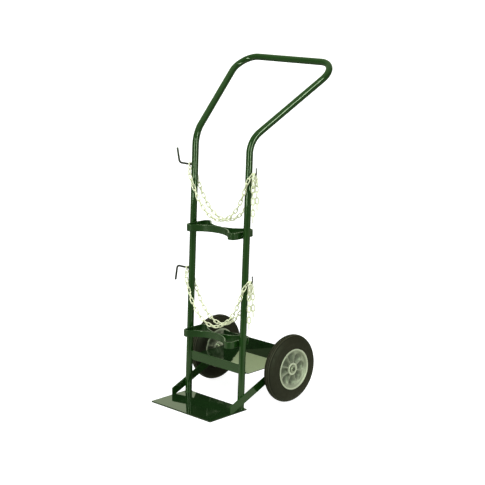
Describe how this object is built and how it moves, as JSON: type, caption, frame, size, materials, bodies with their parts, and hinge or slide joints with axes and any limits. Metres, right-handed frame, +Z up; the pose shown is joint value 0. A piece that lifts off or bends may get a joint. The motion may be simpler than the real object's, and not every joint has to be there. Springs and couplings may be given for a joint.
{
  "type": "gas cylinder cart",
  "caption": "Two-wheeled cart for an oxygen and a fuel gas cylinder: bent tube frame with handle, toe plate, rear tray, curved rests, hose hooks and safety chains.",
  "frame": {"origin": "on the floor under the toe plate, midway between the feet of the two uprights", "axes": "+X to the right of someone who stands in front of the toe plate and faces the cart, +Y from the toe plate towards the axle and the handle, +Z up"},
  "size_m": [0.4852, 0.5808, 1.2505],
  "materials": {
    "green_enamel": "gloss dark green enamel",
    "black_enamel": "satin black",
    "bare_steel": "bright",
    "bearing_steel": "polished",
    "zinc_plate": "bright zinc plate",
    "tyre_rubber": "matt",
    "hub_silver": "satin cast silver"
  },
  "bodies": {
    "cart": {"frame_tube": "green_enamel", "toe_plate": "green_enamel", "rear_tray": "green_enamel", "crossbar": "green_enamel", "upper_front_rest": "green_enamel", "upper_rear_rest": "green_enamel", "lower_front_rest": "green_enamel", "lower_rear_rest": "green_enamel", "left_brace": "green_enamel", "right_brace": "green_enamel", "axle": "bare_steel", "axle_spacers": "bare_steel", "axle_washers": "zinc_plate", "axle_retainers": "zinc_plate", "upper_hose_hook": "black_enamel", "lower_hose_hook": "black_enamel", "upper_chain_hook": "black_enamel", "lower_chain_hook": "black_enamel"},
    "left_wheel": {"left_tyre": "tyre_rubber", "left_hub": "hub_silver", "left_outer_races": "bearing_steel", "left_inner_races": "bearing_steel", "left_balls": "bearing_steel", "left_shields": "black_enamel"},
    "right_wheel": {"right_tyre": "tyre_rubber", "right_hub": "hub_silver", "right_outer_races": "bearing_steel", "right_inner_races": "bearing_steel", "right_balls": "bearing_steel", "right_shields": "black_enamel"},
    "upper_front_chain_loop": {"upper_front_chain": "zinc_plate"},
    "upper_front_chain_tail": {"upper_front_chain_end": "zinc_plate"},
    "upper_rear_chain_loop": {"upper_rear_chain": "zinc_plate"},
    "upper_rear_chain_tail": {"upper_rear_chain_end": "zinc_plate"},
    "lower_front_chain_loop": {"lower_front_chain": "zinc_plate"},
    "lower_front_chain_tail": {"lower_front_chain_end": "zinc_plate"},
    "lower_rear_chain_loop": {"lower_rear_chain": "zinc_plate"},
    "lower_rear_chain_tail": {"lower_rear_chain_end": "zinc_plate"}
  },
  "joints": [
    {"name": "left_wheel_spin", "type": "hinge", "parent": "cart", "child": "left_wheel", "pos_m": [-0.194, 0.2, 0.127], "axis": [1, 0, 0], "continuous": true},
    {"name": "right_wheel_spin", "type": "hinge", "parent": "cart", "child": "right_wheel", "pos_m": [0.194, 0.2, 0.127], "axis": [1, 0, 0], "continuous": true},
    {"name": "upper_front_chain_swing", "type": "hinge", "parent": "cart", "child": "upper_front_chain_loop", "pos_m": [0, 0.04113, 0.866], "axis": [1, 0, 0], "range_deg": [-80, 0]},
    {"name": "upper_front_chain_end_swing", "type": "hinge", "parent": "cart", "child": "upper_front_chain_tail", "pos_m": [0.166, 0.04113, 0.866], "axis": [1, 0, 0], "range_deg": [-25, 0]},
    {"name": "upper_rear_chain_swing", "type": "hinge", "parent": "cart", "child": "upper_rear_chain_loop", "pos_m": [0, 0.04113, 0.866], "axis": [1, 0, 0], "range_deg": [0, 80]},
    {"name": "upper_rear_chain_end_swing", "type": "hinge", "parent": "cart", "child": "upper_rear_chain_tail", "pos_m": [0.17, 0.04113, 0.866], "axis": [1, 0, 0], "range_deg": [0, 25]},
    {"name": "lower_front_chain_swing", "type": "hinge", "parent": "cart", "child": "lower_front_chain_loop", "pos_m": [0, 0.0227, 0.478], "axis": [1, 0, 0], "range_deg": [-80, 0]},
    {"name": "lower_front_chain_end_swing", "type": "hinge", "parent": "cart", "child": "lower_front_chain_tail", "pos_m": [0.166, 0.0227, 0.478], "axis": [1, 0, 0], "range_deg": [-25, 0]},
    {"name": "lower_rear_chain_swing", "type": "hinge", "parent": "cart", "child": "lower_rear_chain_loop", "pos_m": [0, 0.0227, 0.478], "axis": [1, 0, 0], "range_deg": [0, 80]},
    {"name": "lower_rear_chain_end_swing", "type": "hinge", "parent": "cart", "child": "lower_rear_chain_tail", "pos_m": [0.17, 0.0227, 0.478], "axis": [1, 0, 0], "range_deg": [0, 25]}
  ]
}
